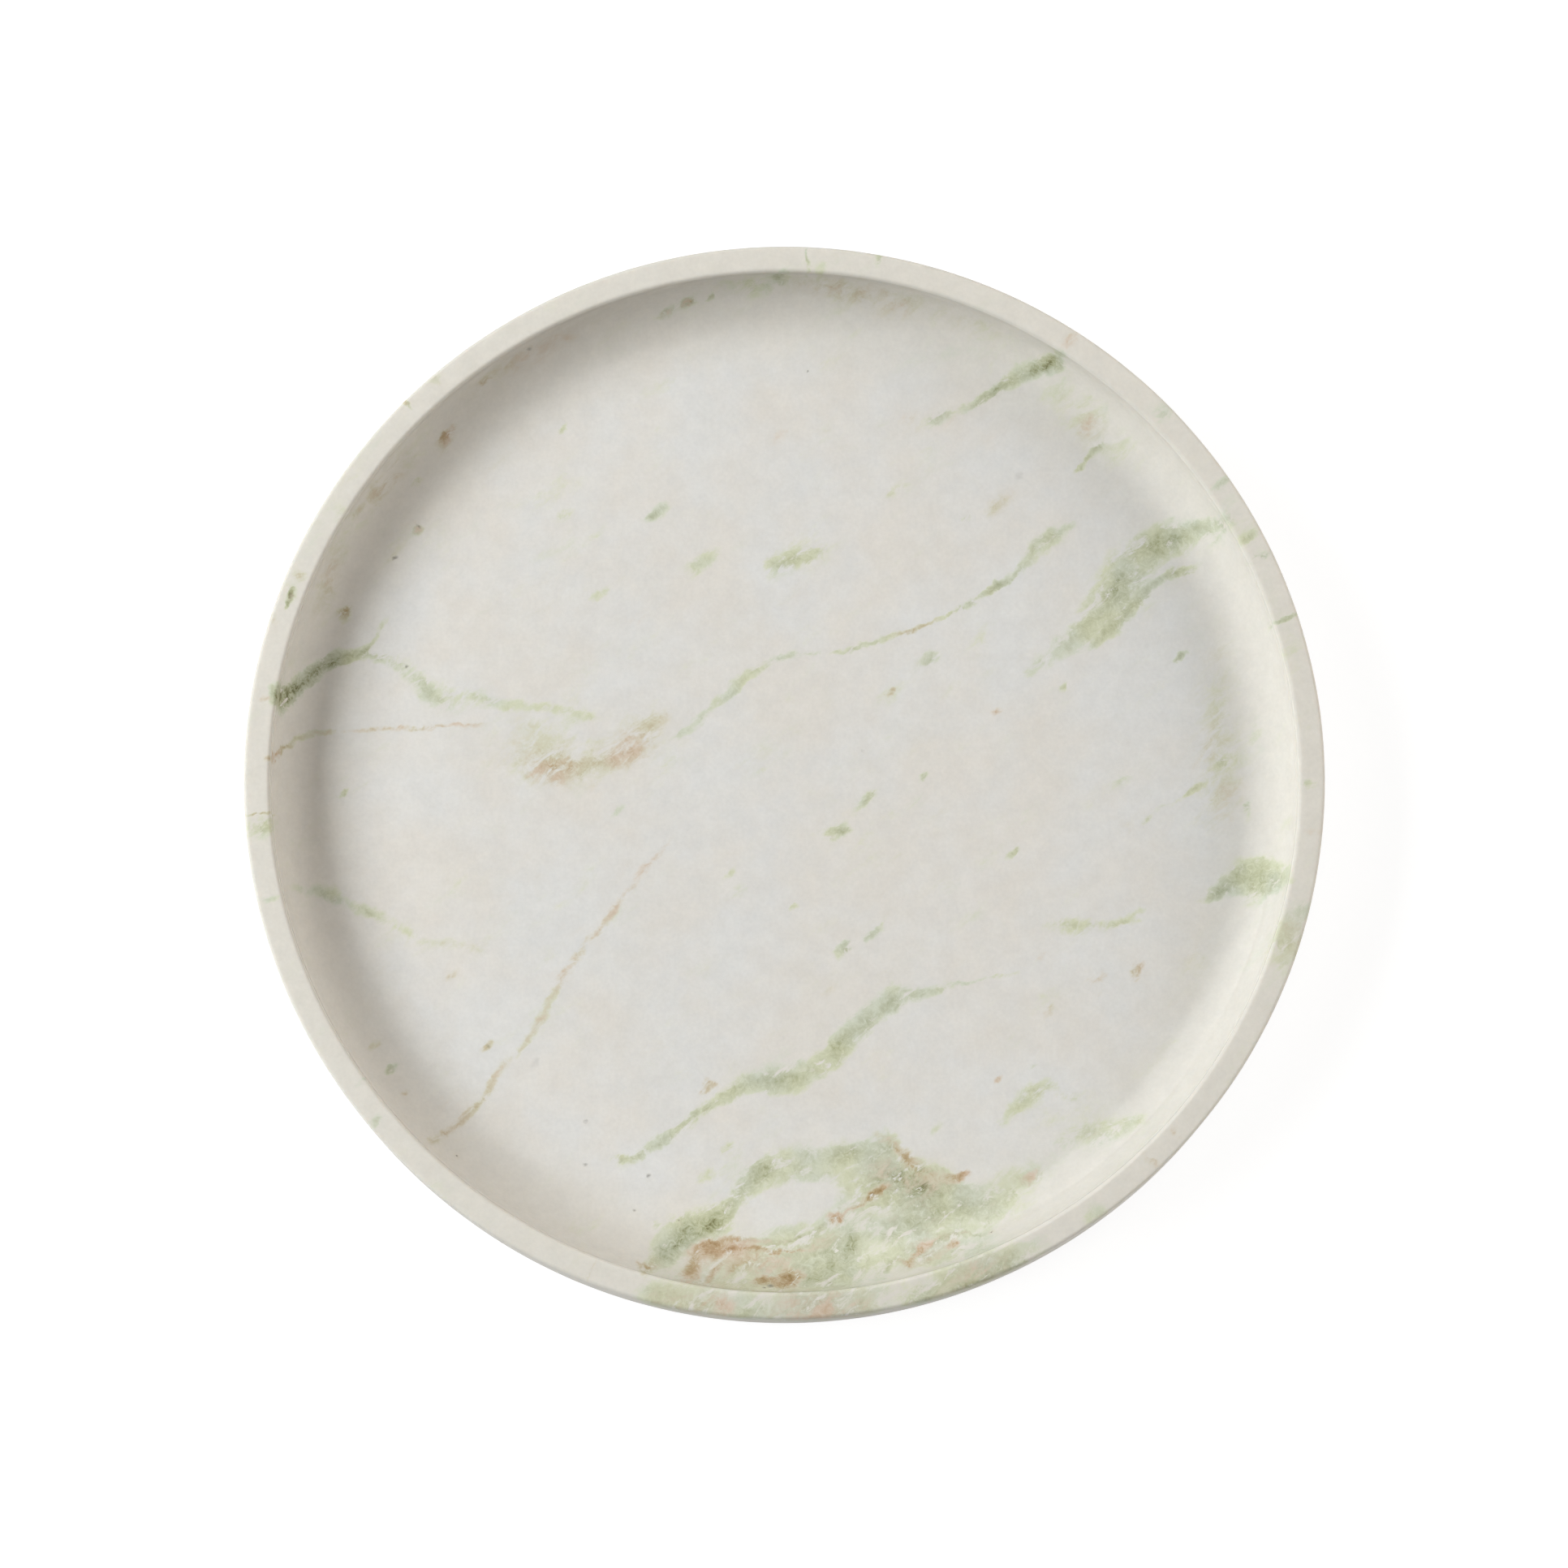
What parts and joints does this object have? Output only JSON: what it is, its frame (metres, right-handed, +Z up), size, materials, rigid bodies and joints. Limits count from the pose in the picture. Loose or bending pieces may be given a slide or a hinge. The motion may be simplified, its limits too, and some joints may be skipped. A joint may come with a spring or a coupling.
{
  "type": "round tray",
  "caption": "Round serving tray turned from one slab of veined white marble, with a coved well, a narrow raised rim and felt pads underneath.",
  "frame": {"origin": "on the surface the tray stands on, under the middle of the tray, at the underside of the felt pads", "axes": "+Z up along the axis the stone was turned about, +X to the right and +Y away from the viewer in the picture"},
  "size_m": [0.3, 0.3, 0.03],
  "materials": {
    "marble": "polished white marble with green and rust veins",
    "felt": "pressed wool felt",
    "film": "double-sided acrylic adhesive film"
  },
  "bodies": {
    "root": {"stone_body": "marble", "felt_pad_1": "felt", "felt_pad_2": "felt", "felt_pad_3": "felt", "felt_pad_4": "felt", "adhesive_film_1": "film", "adhesive_film_2": "film", "adhesive_film_3": "film", "adhesive_film_4": "film"}
  },
  "joints": []
}
